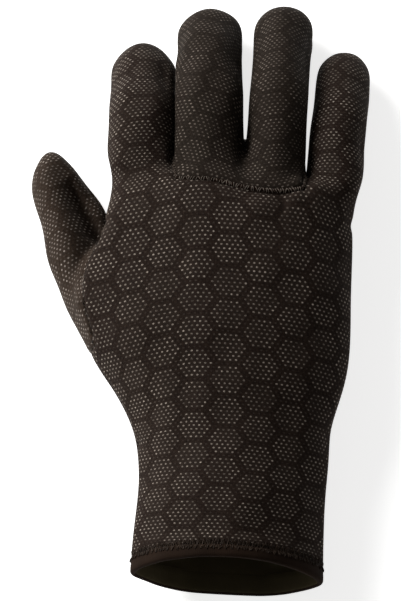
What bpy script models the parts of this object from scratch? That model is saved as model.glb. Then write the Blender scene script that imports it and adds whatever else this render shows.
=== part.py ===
"""A right-hand diving glove of foam neoprene, lying palm down as it would by itself.

X runs across the hand away from the thumb, +Y towards the fingertips and +Z up out of
the back of the hand. The origin is on the surface that the glove lies on, under the heel
of the palm. Tables and sizes are in millimetres, with y counted from the cuff's edge.

The glove is sewn from flat panels, so it is made here as one coarse cage whose faces each
belong to a panel. Subdivision rounds the cage, then each panel is cut free along its
seams and gets the thickness of the neoprene.
"""

import math
from collections import namedtuple

import bmesh
import bpy
import numpy as np
from mathutils import Vector

METRES_PER_MM = 0.001
HEEL_FROM_CUFF = 62.0
WALL = 2.5
SEAM_GAP = 0.3
HEM_WALL = 2.3
HEM_PROUD = 0.4
HEM_EDGE_RADIUS = 0.7
PALM_LONGER_AT_CUFF = 1.5
BACK_SHORTER_AT_CUFF = 2.2
MOST_SHELL_FACTOR = 1.5
FIT_ROUNDS = 8

# Cross-sections of the hand from the cuff's edge to the knuckle seam.
# left and right are the outline seen from above, and left_z and right_z the heights of the
# side seams. bluntness is 2 for an oval section and less for a flattened, pointed one. skew is
# how much further the section runs towards the fingers on the thumb's side.
HandSection = namedtuple("HandSection", "y left right top bottom left_z right_z bluntness skew")
HAND = (
    HandSection(0.0, -42.7, 40.0, 43.5, -1.8, 18.0, 18.0, 1.45, 4.4),
    HandSection(7.0, -42.3, 40.1, 43.5, -1.8, 18.5, 18.5, 1.45, 4.4),
    HandSection(24.0, -40.6, 40.5, 44.0, -2.2, 20.0, 20.5, 1.5, 4.4),
    HandSection(40.0, -39.2, 41.5, 44.0, -2.5, 20.0, 21.0, 1.6, 4.4),
    HandSection(55.0, -40.0, 43.0, 44.5, -2.5, 20.0, 21.5, 1.7, 5.0),
    HandSection(69.0, -43.3, 44.2, 45.5, -2.5, 20.0, 22.0, 1.8, 5.0),
    HandSection(84.0, -51.3, 48.2, 47.5, -2.0, 19.0, 23.0, 1.9, 6.0),
    HandSection(101.0, -60.8, 52.3, 49.5, -1.0, 18.0, 24.0, 2.0, 7.0),
    HandSection(127.0, -63.0, 53.4, 50.5, 1.0, 24.0, 25.0, 2.0, 8.0),
    HandSection(152.0, -57.0, 54.6, 50.0, 6.0, 28.0, 26.0, 2.0, 10.0),
    HandSection(172.7, -51.8, 55.5, 46.5, 12.5, 28.5, 27.0, 2.2, 12.5),
)
HEM_ROWS = 1
THUMB_ROOT_ROW = 7

# Where each column of the cage runs, as a share of the hand's width from the thumb's side.
# Even columns but the first and last end in the web between two fingers.
COLUMNS = (0.03, 0.135, 0.265, 0.405, 0.545, 0.665, 0.79, 0.885, 0.97)

# The thumb's root on the side of the hand, one row for each hand section from
# THUMB_ROOT_ROW: the back edge, the seam and the palm edge.
RootPoint = namedtuple("RootPoint", "x y z")
THUMB_ROOT_BACK = (RootPoint(-58.5, 103.0, 28.5), RootPoint(-64.5, 130.0, 35.0), RootPoint(-54.5, 156.0, 36.0))
THUMB_ROOT_SEAM = (RootPoint(-60.8, 103.0, 17.0), None, RootPoint(-54.5, 161.5, 25.0))
THUMB_ROOT_PALM = (RootPoint(-54.5, 102.0, 6.0), RootPoint(-54.0, 129.0, 1.5), RootPoint(-50.0, 158.0, 14.0))

# Rings of the thumb: the outermost and innermost points seen from above, the height of the
# middle, half the thickness and the depth of the long dent beside the seam.
ThumbRing = namedtuple("ThumbRing", "outer_x outer_y inner_x inner_y z half_height dent")
THUMB = (
    ThumbRing(-73.8, 132.0, -54.3, 164.5, 13.5, 14.0, 2.5),
    ThumbRing(-81.2, 153.0, -54.2, 169.8, 13.0, 13.5, 4.5),
    ThumbRing(-84.3, 168.0, -58.6, 178.6, 12.8, 13.0, 4.5),
    ThumbRing(-88.4, 183.0, -65.8, 188.5, 12.0, 12.5, 2.5),
    ThumbRing(-86.8, 192.5, -72.2, 196.0, 11.5, 9.0, 0.0),
)
THUMB_TIP = RootPoint(-80.4, 201.5, 11.5)
THUMB_ROLL = math.radians(25.0)
DENTED_POINT = 3

# Each finger: middle of its root and of its tip's ball, then half its width and half its
# thickness at root and tip. bow lifts the middle of its length.
Finger = namedtuple("Finger", "name root_x tip_x tip_y root_z tip_z root_w tip_w root_h tip_h bow")
FINGERS = (
    Finger("index", -39.1, -38.4, 241.5, 28.0, 12.3, 14.8, 14.4, 13.5, 12.5, 5.0),
    Finger("middle", -8.4, -8.2, 259.2, 31.0, 12.8, 15.3, 14.5, 13.8, 13.0, 6.0),
    Finger("ring", 20.7, 25.4, 260.8, 30.0, 12.4, 13.3, 13.2, 13.5, 12.6, 6.0),
    Finger("little", 46.8, 52.6, 239.5, 26.5, 11.3, 12.9, 12.0, 12.0, 11.5, 4.0),
)
FINGER_SHARES = (0.22, 0.48, 0.75, 1.0)
ROOT_BACK_Y = (187.0, 189.0, 185.0, 178.0)
ROOT_PALM_Y = (200.0, 205.0, 201.0, 191.0)

# The webs between the fingers, each a line from the back to the palm.
Web = namedtuple("Web", "x back_y back_z seam_y seam_z palm_y palm_z")
WEBS = (
    Web(-24.0, 184.0, 37.5, 193.0, 28.0, 201.0, 18.0),
    Web(7.2, 186.0, 38.0, 196.0, 29.0, 205.0, 18.0),
    Web(34.4, 177.0, 35.0, 184.0, 26.5, 189.5, 15.5),
)

PANELS = ("back_panel", "middle_ring_back", "palm_panel", "thumb_panel", "cuff_hem")
BACK, MIDDLE_RING_BACK, PALM, THUMB_PANEL, HEM = range(len(PANELS))
COLOURS = {
    "back_panel": (0.020, 0.018, 0.017, 1.0),
    "middle_ring_back": (0.022, 0.020, 0.018, 1.0),
    "palm_panel": (0.014, 0.013, 0.012, 1.0),
    "thumb_panel": (0.026, 0.023, 0.021, 1.0),
    "cuff_hem": (0.016, 0.013, 0.011, 1.0),
}


class Cage:
    """Named points in millimetres, and faces that each belong to one panel."""

    def __init__(self):
        self.points = []
        self.index = {}
        self.faces = []
        self.panels = []

    def add(self, key, x, y, z):
        self.index[key] = len(self.points)
        self.points.append((x, y - HEEL_FROM_CUFF, z))

    def face(self, panel, *keys):
        self.faces.append([self.index[key] for key in keys])
        self.panels.append(panel)


def bulge(share, bluntness):
    """Height of a section at a share of its width, 0 at both edges and 1 in the middle."""
    across = abs(2.0 * share - 1.0)
    return (1.0 - across * across) ** (1.0 / bluntness)


def hand_ring(row):
    """Keys of the points round one hand section, from the thumb's side over the back."""
    last = len(COLUMNS) - 1
    over = [("back", row, c) for c in range(last + 1)]
    under = [("palm", row, c) for c in range(last, -1, -1)]
    return [("seam", row, 0), *over, ("seam", row, last), *under]


def add_hand_section(cage, row, section):
    """Puts the points of one section on its oval."""
    width = section.right - section.left
    last = len(COLUMNS) - 1
    cage.add(("seam", row, 0), section.left, section.y + section.skew / 2, section.left_z)
    cage.add(("seam", row, last), section.right, section.y - section.skew / 2, section.right_z)
    for column, share in enumerate(COLUMNS):
        x = section.left + share * width
        y = section.y + section.skew * (0.5 - share)
        side_z = section.left_z + share * (section.right_z - section.left_z)
        height = bulge(share, section.bluntness)
        at_cuff = height if row == 0 else 0.0
        back_y, palm_y = y + at_cuff * BACK_SHORTER_AT_CUFF, y - at_cuff * PALM_LONGER_AT_CUFF
        cage.add(("back", row, column), x, back_y, side_z + height * (section.top - side_z))
        cage.add(("palm", row, column), x, palm_y, side_z - height * (side_z - section.bottom))


def set_thumb_root(cage):
    """Moves the nine points at the thumb's root to where the thumb grows out of the hand."""
    roots = {"back": THUMB_ROOT_BACK, "seam": THUMB_ROOT_SEAM, "palm": THUMB_ROOT_PALM}
    for side, line in roots.items():
        for step, point in enumerate(line):
            if point is not None:
                place = cage.index[(side, THUMB_ROOT_ROW + step, 0)]
                cage.points[place] = (point.x, point.y - HEEL_FROM_CUFF, point.z)


def add_knuckle_row(cage, row):
    """The row where the fingers part: each finger's root ring, sharing the webs."""
    diagonal = math.sqrt(0.5)
    for number, finger in enumerate(FINGERS):
        column = 2 * number + 1
        back_y, palm_y = ROOT_BACK_Y[number], ROOT_PALM_Y[number]
        cage.add(("back", row, column), finger.root_x, back_y, finger.root_z + finger.root_h)
        cage.add(("palm", row, column), finger.root_x, palm_y, finger.root_z - finger.root_h)
        if number in (0, len(FINGERS) - 1):
            side = -1.0 if number == 0 else 1.0
            outer = column - 1 if number == 0 else column + 1
            x = finger.root_x + side * diagonal * finger.root_w
            rise = diagonal * finger.root_h
            cage.add(("back", row, outer), x, back_y, finger.root_z + rise)
            cage.add(("palm", row, outer), x, palm_y, finger.root_z - rise)
            middle_y = (back_y + palm_y) / 2
            cage.add(("seam", row, outer), finger.root_x + side * finger.root_w, middle_y, finger.root_z)
    for number, web in enumerate(WEBS):
        column = 2 * number + 2
        cage.add(("back", row, column), web.x, web.back_y, web.back_z)
        cage.add(("seam", row, column), web.x, web.seam_y, web.seam_z)
        cage.add(("palm", row, column), web.x, web.palm_y, web.palm_z)


def hand_face_panel(row, step):
    """The panel of the face after ring step, between this row and the next."""
    if row < HEM_ROWS:
        return HEM
    if step > len(COLUMNS):
        return PALM
    set_in = row == len(HAND) - 1 and 3 <= step <= 6
    return MIDDLE_RING_BACK if set_in else BACK


def add_hand(cage):
    """The hand from the cuff's edge to the knuckles, with a hole for the thumb."""
    for row, section in enumerate(HAND):
        add_hand_section(cage, row, section)
    set_thumb_root(cage)
    add_knuckle_row(cage, len(HAND))
    for row in range(len(HAND)):
        near, far = hand_ring(row), hand_ring(row + 1)
        for step in range(len(near)):
            following = (step + 1) % len(near)
            thumb_hole = row in (THUMB_ROOT_ROW, THUMB_ROOT_ROW + 1) and step in (0, len(near) - 1)
            if not thumb_hole:
                panel = hand_face_panel(row, step)
                cage.face(panel, near[step], near[following], far[following], far[step])


def add_stall(cage, name, root_keys, rings, tip, back, front=PALM):
    """A finger or thumb: a tube of eight-point rings from the root to a closed tip.

    root_keys start at the outer seam and run over the back, so the first four faces of
    each ring belong to the panel on the back and the rest to the one in front.
    """
    size = len(root_keys)
    below = root_keys
    for number, ring in enumerate(rings):
        above = [(name, number, k) for k in range(size)]
        for key, point in zip(above, ring):
            cage.add(key, *point)
        for k in range(size):
            after = (k + 1) % size
            panel = back if k < size // 2 else front
            cage.face(panel, below[k], below[after], above[after], above[k])
        below = above
    cage.add((name, "tip"), *tip)
    for k in range(0, size, 2):
        panel = back if k < size // 2 else front
        cage.face(panel, (name, "tip"), below[k], below[k + 1], below[(k + 2) % size])


def oval_ring(centre, across, up, roll=0.0):
    """Eight points of an oval from its outer side over the back: centre + across cos + up sin."""
    angles = [math.pi - k * math.pi / 4 + roll for k in range(8)]
    return [tuple(centre + across * math.cos(a) + up * math.sin(a)) for a in angles]


def finger_rings(finger, root_y):
    """Rings along a finger whose middle line is a parabola from root to tip, and the tip."""
    root = np.array((finger.root_x, root_y, finger.root_z))
    ball = np.array((finger.tip_x, finger.tip_y, finger.tip_z))
    lift = np.array((0.0, 0.0, finger.bow))
    rings = []
    for share in FINGER_SHARES:
        centre = root + share * (ball - root) + 4.0 * share * (1.0 - share) * lift
        along = ball - root + 4.0 * (1.0 - 2.0 * share) * lift
        along /= np.linalg.norm(along)
        up = np.cross((1.0, 0.0, 0.0), along)
        up /= np.linalg.norm(up)
        across = np.cross(along, up)
        half_width = finger.root_w + share * (finger.tip_w - finger.root_w)
        half_height = finger.root_h + share * (finger.tip_h - finger.root_h)
        rings.append(oval_ring(centre, across * half_width, up * half_height))
    shoulder = math.sqrt(0.5)
    centre = ball + along * shoulder * finger.tip_w
    rings.append(oval_ring(centre, across * shoulder * finger.tip_w, up * shoulder * finger.tip_h))
    return rings, tuple(ball + along * finger.tip_w)


def add_fingers(cage):
    row = len(HAND)
    for number, finger in enumerate(FINGERS):
        low, middle, high = 2 * number, 2 * number + 1, 2 * number + 2
        root = [("seam", row, low), ("back", row, low), ("back", row, middle), ("back", row, high)]
        root += [("seam", row, high), ("palm", row, high), ("palm", row, middle), ("palm", row, low)]
        root_y = (ROOT_BACK_Y[number] + ROOT_PALM_Y[number]) / 2
        rings, tip = finger_rings(finger, root_y)
        back = BACK if number in (0, len(FINGERS) - 1) else MIDDLE_RING_BACK
        add_stall(cage, finger.name, root, rings, tip, back)


def add_thumb(cage):
    low, middle, high = THUMB_ROOT_ROW, THUMB_ROOT_ROW + 1, THUMB_ROOT_ROW + 2
    root = [("seam", low, 0), ("back", low, 0), ("back", middle, 0), ("back", high, 0)]
    root += [("seam", high, 0), ("palm", high, 0), ("palm", middle, 0), ("palm", low, 0)]
    rings = []
    for ring in THUMB:
        outer = np.array((ring.outer_x, ring.outer_y, ring.z))
        inner = np.array((ring.inner_x, ring.inner_y, ring.z))
        up = np.array((0.0, 0.0, ring.half_height))
        oval = oval_ring((outer + inner) / 2, (inner - outer) / 2, up, THUMB_ROLL)
        x, y, z = oval[DENTED_POINT]
        oval[DENTED_POINT] = (x, y, z - ring.dent)
        rings.append(oval)
    add_stall(cage, "thumb", root, rings, THUMB_TIP, THUMB_PANEL, THUMB_PANEL)


def mesh_from(cage):
    """The cage as a mesh in metres, each face's panel kept as its material slot."""
    points = np.array(cage.points) * METRES_PER_MM
    mesh = bpy.data.meshes.new("glove_cage")
    mesh.from_pydata(points.tolist(), [], cage.faces)
    mesh.polygons.foreach_set("material_index", cage.panels)
    bm = bmesh.new()
    bm.from_mesh(mesh)
    unused = [v for v in bm.verts if not v.link_faces]
    bmesh.ops.delete(bm, geom=unused, context="VERTS")
    bmesh.ops.recalc_face_normals(bm, faces=bm.faces)
    bm.to_mesh(mesh)
    bm.free()
    return mesh


def smooth_surface(cage):
    """The subdivided skin, fitted so that it runs through the cage's own points.

    Subdivision pulls a surface inside its cage, so each round moves the cage out by what
    its points still miss.
    """
    mesh = mesh_from(cage)
    wanted = np.array([v.co for v in mesh.vertices])
    holder = bpy.data.objects.new("glove_cage", mesh)
    bpy.context.scene.collection.objects.link(holder)
    rounding = holder.modifiers.new("rounding", "SUBSURF")
    rounding.levels = rounding.render_levels = 1
    control = wanted.copy()
    for _ in range(FIT_ROUNDS):
        graph = bpy.context.evaluated_depsgraph_get()
        graph.update()
        skin = bpy.data.meshes.new_from_object(holder.evaluated_get(graph))
        reached = np.array([v.co for v in skin.vertices])[: len(wanted)]
        bpy.data.meshes.remove(skin)
        control += wanted - reached
        mesh.vertices.foreach_set("co", control.ravel())
        mesh.update()
        holder.update_tag()
    graph = bpy.context.evaluated_depsgraph_get()
    graph.update()
    skin = bpy.data.meshes.new_from_object(holder.evaluated_get(graph))
    bpy.data.objects.remove(holder)
    return skin


def rested_skin(skin):
    """The skin as a bmesh, pressed flat where it lies on the surface, with each vertex's way in.

    seam_order numbers the vertices, so that two panels split their shared seam's faces alike.
    """
    bm = bmesh.new()
    bm.from_mesh(skin)
    for vertex in bm.verts:
        vertex.co.z = max(vertex.co.z, 0.0)
    bm.normal_update()
    way_in = bm.verts.layers.float_vector.new("way_in")
    seam_order = bm.verts.layers.int.new("seam_order")
    for number, vertex in enumerate(bm.verts):
        even = min(vertex.calc_shell_factor(), MOST_SHELL_FACTOR)
        vertex[way_in] = -vertex.normal * even
        vertex[seam_order] = number
    return bm


def open_seams(bm, way_in, width):
    """Moves each free edge into its panel by half the seam's gap, along the surface."""
    moves = {}
    for vertex in (v for v in bm.verts if v.is_boundary):
        ends = [e.other_vert(vertex).co for e in vertex.link_edges if e.is_boundary]
        tangent = (ends[0] - ends[-1]).normalized()
        normal = vertex[way_in].normalized()
        inside = sum((f.calc_center_median() - vertex.co for f in vertex.link_faces), Vector())
        inside -= normal * inside.dot(normal)
        inside -= tangent * inside.dot(tangent)
        moves[vertex] = inside.normalized() * width / 2
    for vertex, move in moves.items():
        vertex.co += move


def thicken(bm, way_in, thickness):
    """Closes the open panel with an inner face at an even thickness."""
    seam_order = bm.verts.layers.int["seam_order"]
    made = bmesh.ops.extrude_face_region(bm, geom=bm.faces[:])
    inner = {g for g in made["geom"] if isinstance(g, bmesh.types.BMVert)}
    for vertex in inner:
        vertex.co += vertex[way_in] * thickness
    seam_faces = [f for f in bm.faces if sum(v in inner for v in f.verts) == 2]
    for face in seam_faces:
        first = min((v for v in face.verts if v not in inner), key=lambda v: v[seam_order])
        across = max((v for v in face.verts if v in inner), key=lambda v: v[seam_order])
        bmesh.utils.face_split(face, first, across)
    bmesh.ops.recalc_face_normals(bm, faces=bm.faces)


def panel_object(skin, number, collection):
    """One panel of the glove as a closed solid."""
    name = PANELS[number]
    bm = rested_skin(skin)
    way_in = bm.verts.layers.float_vector["way_in"]
    others = [f for f in bm.faces if f.material_index != number]
    bmesh.ops.delete(bm, geom=others, context="FACES")
    open_seams(bm, way_in, SEAM_GAP * METRES_PER_MM)
    wall = WALL
    if number == HEM:
        wall = HEM_WALL
        for vertex in bm.verts:
            vertex.co -= vertex[way_in] * HEM_PROUD * METRES_PER_MM
            vertex.co.z = max(vertex.co.z, 0.0)
    thicken(bm, way_in, wall * METRES_PER_MM)
    for face in bm.faces:
        face.material_index = 0
        face.smooth = True
    mesh = bpy.data.meshes.new(name)
    bm.to_mesh(mesh)
    bm.free()
    mesh.set_sharp_from_angle(angle=math.radians(50.0))
    mesh.materials.append(material_for(name))
    panel = bpy.data.objects.new(name, mesh)
    collection.objects.link(panel)
    return panel


def material_for(name):
    material = bpy.data.materials.new(name)
    material.use_nodes = True
    surface = material.node_tree.nodes["Principled BSDF"]
    surface.inputs["Base Color"].default_value = COLOURS[name]
    surface.inputs["Roughness"].default_value = 0.85
    surface.inputs["Metallic"].default_value = 0.0
    return material


def round_hem(hem):
    """Rounds the long edges of the hem, where the lining is turned over the cuff's raw edge."""
    bevel = hem.modifiers.new("hem_fold", "BEVEL")
    bevel.width = HEM_EDGE_RADIUS * METRES_PER_MM
    bevel.segments = 2
    bevel.limit_method = "ANGLE"
    bevel.angle_limit = math.radians(60.0)


def main():
    for old in list(bpy.data.objects):
        bpy.data.objects.remove(old, do_unlink=True)
    collection = bpy.data.collections.new("diving_glove")
    bpy.context.scene.collection.children.link(collection)
    cage = Cage()
    add_hand(cage)
    add_fingers(cage)
    add_thumb(cage)
    skin = smooth_surface(cage)
    panels = [panel_object(skin, number, collection) for number in range(len(PANELS))]
    round_hem(panels[HEM])
    bpy.data.meshes.remove(skin)


main()
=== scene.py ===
# %% [markdown]
# # A diving glove of foam neoprene
# The real glove is sewn from sheets of foam neoprene, 2.5 mm thick, with nylon jersey glued to
# both sides. The outer jersey is printed with small grey dots that are grouped in hexagons. It is
# a soft shell that keeps the round shape of a hand, so the whole lesson is about one smooth skin:
# first its shape, then its seams and folds, then the cloth and its print.
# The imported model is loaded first. It fixes the size and the place of every piece.

import math

import bpy
import numpy as np
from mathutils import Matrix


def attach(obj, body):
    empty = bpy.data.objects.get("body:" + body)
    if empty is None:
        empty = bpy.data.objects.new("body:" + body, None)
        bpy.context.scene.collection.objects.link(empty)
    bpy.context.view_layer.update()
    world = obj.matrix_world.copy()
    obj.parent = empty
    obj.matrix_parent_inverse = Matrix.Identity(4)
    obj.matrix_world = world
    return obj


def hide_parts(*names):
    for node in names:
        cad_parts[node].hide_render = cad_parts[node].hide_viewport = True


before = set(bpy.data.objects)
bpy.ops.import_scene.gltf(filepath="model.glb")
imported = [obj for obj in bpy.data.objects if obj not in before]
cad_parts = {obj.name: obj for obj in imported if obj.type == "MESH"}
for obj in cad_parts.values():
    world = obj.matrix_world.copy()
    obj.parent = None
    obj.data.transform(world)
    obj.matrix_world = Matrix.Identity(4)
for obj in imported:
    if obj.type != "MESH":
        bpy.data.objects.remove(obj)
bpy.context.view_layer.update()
MM = 0.001
print("packed pieces:", sorted(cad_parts))

# %% [markdown]
# ## The camera
# The photograph looks down on the glove from the cuff's side, so steeply that the mouth of the
# cuff only just opens. The way the cuff's ellipse and the fingers' lengths shorten gives the
# angle, 68 degrees above the table. A long lens from 1.5 m keeps the sides parallel, as they are
# in the photograph. The picture is 401 by 601 points, and one point is 0.44 mm on the glove.
# Blender's own view, AgX, keeps detail in very bright places by greying them. A catalogue
# photograph has a hard white ground and deep blacks, which is what the Standard view gives.

# %% Place the camera
TARGET = np.array([-12.5, 65.0, 20.0]) * MM
ELEVATION = math.radians(68.0)
DISTANCE = 1.5
POINT_MM = 0.44
PICTURE_HIGH = 601
PICTURE_MIDDLE = (200.5, 300.5)
lens = bpy.data.cameras.new("camera")
lens.sensor_width = 36.0
lens.lens = lens.sensor_width * DISTANCE / (PICTURE_HIGH * POINT_MM * MM)
lens.clip_start, lens.clip_end = 0.05, 50.0
camera = bpy.data.objects.new("camera", lens)
bpy.context.scene.collection.objects.link(camera)
camera.location = TARGET + DISTANCE * np.array([0.0, -math.cos(ELEVATION), math.sin(ELEVATION)])
camera.rotation_euler = (math.pi / 2 - ELEVATION, 0.0, 0.0)
bpy.context.scene.camera = camera
bpy.context.scene.view_settings.view_transform = "Standard"
print(f"lens {lens.lens:.0f} mm at {DISTANCE} m")

# %% [markdown]
# ## The sizes of the glove
# A glove can be described like a boat: by cross-sections from one end to the other. Each row of
# the hand's table is one section between the cuff and the knuckles, and each finger is a tube
# with a bent middle line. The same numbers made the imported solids, so the two agree. Sizes are
# in millimetres, with y counted from the cuff's edge. The heel of the palm, where the glove
# rests, is 62 mm from that edge.

# %% The sections of the hand and the thumb
HEEL_FROM_CUFF = 62.0
WALL = 2.5
AROUND = 20
# y, left, right, top, bottom, height of the left and right side seams, bluntness, skew
SECTIONS = np.array([
    (0.0, -42.7, 40.0, 43.5, -1.8, 18.0, 18.0, 1.45, 4.4),
    (7.0, -42.3, 40.1, 43.5, -1.8, 18.5, 18.5, 1.45, 4.4),
    (24.0, -40.6, 40.5, 44.0, -2.2, 20.0, 20.5, 1.5, 4.4),
    (40.0, -39.2, 41.5, 44.0, -2.5, 20.0, 21.0, 1.6, 4.4),
    (55.0, -40.0, 43.0, 44.5, -2.5, 20.0, 21.5, 1.7, 5.0),
    (69.0, -43.3, 44.2, 45.5, -2.5, 20.0, 22.0, 1.8, 5.0),
    (84.0, -51.3, 48.2, 47.5, -2.0, 19.0, 23.0, 1.9, 6.0),
    (101.0, -60.8, 52.3, 49.5, -1.0, 18.0, 24.0, 2.0, 7.0),
    (127.0, -63.0, 53.4, 50.5, 1.0, 24.0, 25.0, 2.0, 8.0),
    (152.0, -57.0, 54.6, 50.0, 6.0, 28.0, 26.0, 2.0, 10.0),
    (172.7, -51.8, 55.5, 46.5, 12.5, 28.5, 27.0, 2.2, 12.5),
])
COLUMNS = np.array([0.03, 0.135, 0.265, 0.405, 0.545, 0.665, 0.79, 0.885, 0.97])
PALM_LONGER_AT_CUFF, BACK_SHORTER_AT_CUFF = 1.5, 2.2
# outer x and y, inner x and y, height, half the thickness, depth of the long dent
THUMB = np.array([
    (-73.8, 132.0, -54.3, 164.5, 13.5, 14.0, 2.5),
    (-81.2, 153.0, -54.2, 169.8, 13.0, 13.5, 4.5),
    (-84.3, 168.0, -58.6, 178.6, 12.8, 13.0, 4.5),
    (-88.4, 183.0, -65.8, 188.5, 12.0, 12.5, 2.5),
    (-86.8, 192.5, -72.2, 196.0, 11.5, 9.0, 0.0),
])
THUMB_TIP = (-80.4, 201.5, 11.5)
THUMB_ROLL = math.radians(25.0)
# Where the thumb is set into the side of the hand: back, seams and palm.
THUMB_ROOT = {
    141: (-58.5, 103.0, 28.5), 161: (-64.5, 130.0, 35.0), 181: (-54.5, 156.0, 36.0),
    140: (-60.8, 103.0, 17.0), 180: (-54.5, 161.5, 25.0),
    159: (-54.5, 102.0, 6.0), 179: (-54.0, 129.0, 1.5), 199: (-50.0, 158.0, 14.0),
}
print(len(SECTIONS), "sections of the hand,", len(THUMB), "rings of the thumb")

# %% [markdown]
# ## The sizes of the fingers
# The fingers of a glove that has been worn aren't straight. They keep the bow of a resting hand,
# so a middle line leaves the knuckles level and drops to the table at the tip. The fingertips
# could be drawn one by one, but a row of ten numbers for each finger is easier to correct. Where
# two fingers part, the back, the side seam and the palm each meet the other finger in a web.

# %% The fingers and the webs between them
# root x, tip x, tip y, root z, tip z, half widths at root and tip, half heights, bow
FINGERS = np.array([
    (-39.1, -38.4, 241.5, 28.0, 12.3, 14.8, 14.4, 13.5, 12.5, 5.0),
    (-8.4, -8.2, 259.2, 31.0, 12.8, 15.3, 14.5, 13.8, 13.0, 6.0),
    (20.7, 25.4, 260.8, 30.0, 12.4, 13.3, 13.2, 13.5, 12.6, 6.0),
    (46.8, 52.6, 239.5, 26.5, 11.3, 12.9, 12.0, 12.0, 11.5, 4.0),
])
FINGER_SHARES = np.array([0.22, 0.48, 0.75, 1.0])
ROOT_BACK_Y = np.array([187.0, 189.0, 185.0, 178.0])
ROOT_PALM_Y = np.array([200.0, 205.0, 201.0, 191.0])
# x, then y and z at the back, at the seam and at the palm
WEBS = np.array([
    (-24.0, 184.0, 37.5, 193.0, 28.0, 201.0, 18.0),
    (7.2, 186.0, 38.0, 196.0, 29.0, 205.0, 18.0),
    (34.4, 177.0, 35.0, 184.0, 26.5, 189.5, 15.5),
])
print("fingers end at y =", FINGERS[:, 2] + FINGERS[:, 6] - HEEL_FROM_CUFF)

# %% [markdown]
# ## The points of the cage
# A smooth branching form is hard to write as one formula, but a coarse cage of it is easy. The
# hand is a grid: its rows are the sections and its columns run round them, 20 points a ring.
# Each finger is a grid too, 8 points a ring. All fingers share the points of the webs, so they
# grow out of the hand without a joint.


# %% Grids for the hand and the fingers
DIAGONAL = math.sqrt(0.5)  # sine and cosine of an eighth of a turn
STALL_RINGS, STALL_AROUND = 5, 8
STALL_POINTS = STALL_RINGS * STALL_AROUND + 1


def hand_grid():
    """Rows of 20 points round the hand, from the thumb's seam over the back to the other seam.

    x runs from left to right by each column's share. The height leaves the side seams by
    (1 - |2 share - 1|^2)^(1 / bluntness), up to the top on the back and down on the palm.
    """
    y, left, right, top, bottom, left_z, right_z, blunt, skew = (SECTIONS[:, k, None] for k in range(9))
    share = np.concatenate([[0.0], COLUMNS, [1.0], COLUMNS[::-1]])[None]
    side = np.repeat([0.0, 1.0, 0.0, -1.0], [1, 9, 1, 9])[None]
    seam_z = left_z + share * (right_z - left_z)
    height = (1.0 - np.abs(2.0 * share - 1.0) ** 2) ** (1.0 / blunt)
    z = seam_z + side * height * np.where(side > 0, top - seam_z, seam_z - bottom)
    y = y + skew * (0.5 - share)
    longer = np.choose(side[0].astype(int) + 1, [-PALM_LONGER_AT_CUFF, 0.0, BACK_SHORTER_AT_CUFF])
    y[0] += height[0] * longer
    return np.stack([left + share * (right - left), y, z], 2)


def knuckle_ring():
    """The ring where the fingers part, and the three points in the middles of the webs."""
    root_x, root_z, root_w, root_h = FINGERS[:, 0], FINGERS[:, 3], FINGERS[:, 5], FINGERS[:, 7]
    ring = np.zeros((AROUND, 3))
    back, palm = np.arange(4) * 2 + 2, 18 - np.arange(4) * 2
    ring[back] = np.stack([root_x, ROOT_BACK_Y, root_z + root_h], 1)
    ring[palm] = np.stack([root_x, ROOT_PALM_Y, root_z - root_h], 1)
    ring[[3, 5, 7]], ring[[17, 15, 13]] = WEBS[:, [0, 1, 2]], WEBS[:, [0, 5, 6]]
    for finger, sign, over, under, seam in ((0, -1.0, 1, 19, 0), (3, 1.0, 9, 11, 10)):
        x, z = root_x[finger] + sign * DIAGONAL * root_w[finger], DIAGONAL * root_h[finger]
        ring[over] = x, ROOT_BACK_Y[finger], root_z[finger] + z
        ring[under] = x, ROOT_PALM_Y[finger], root_z[finger] - z
        middle_y = (ROOT_BACK_Y[finger] + ROOT_PALM_Y[finger]) / 2
        ring[seam] = root_x[finger] + sign * root_w[finger], middle_y, root_z[finger]
    return ring, WEBS[:, [0, 3, 4]]


def ovals(centre, across, up, roll=0.0):
    """Rings of eight points: centre + across cos(a) + up sin(a), from the outer side over the back."""
    angle = (math.pi - 2.0 * math.pi * np.arange(STALL_AROUND) / STALL_AROUND + roll)[:, None]
    return centre[:, None] + across[:, None] * np.cos(angle) + up[:, None] * np.sin(angle)


def finger_points(finger, root_y):
    """Five rings and the tip. The middle line is a parabola: straight plus 4 s (1 - s) times the bow."""
    root_x, tip_x, tip_y, root_z, tip_z, root_w, tip_w, root_h, tip_h, bow = finger
    root, ball = np.array([root_x, root_y, root_z]), np.array([tip_x, tip_y, tip_z])
    lift, share = np.array([0.0, 0.0, bow]), FINGER_SHARES[:, None]
    centre = root + share * (ball - root) + 4.0 * share * (1.0 - share) * lift
    along = ball - root + 4.0 * (1.0 - 2.0 * share) * lift
    along /= np.linalg.norm(along, axis=1, keepdims=True)
    up = np.cross([1.0, 0.0, 0.0], along)
    up /= np.linalg.norm(up, axis=1, keepdims=True)
    across = np.cross(along, up)
    width, height = root_w + share * (tip_w - root_w), root_h + share * (tip_h - root_h)
    # The fifth ring is halfway round the fingertip's ball.
    centre = np.vstack([centre, ball + along[-1] * DIAGONAL * tip_w])
    across = np.vstack([across * width, across[-1] * DIAGONAL * tip_w])
    up = np.vstack([up * height, up[-1] * DIAGONAL * tip_h])
    return ovals(centre, across, up).reshape(-1, 3), ball + along[-1] * tip_w


def thumb_points():
    """Five flattened rings whose long axis joins the outer and inner edge, dented at one point."""
    outer, inner = THUMB[:, [0, 1, 4]], THUMB[:, [2, 3, 4]]
    up = THUMB[:, 5, None] * np.array([[0.0, 0.0, 1.0]])
    rings = ovals((outer + inner) / 2, (inner - outer) / 2, up, THUMB_ROLL)
    rings[:, 3, 2] -= THUMB[:, 6]
    return rings.reshape(-1, 3), np.array(THUMB_TIP)


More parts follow.
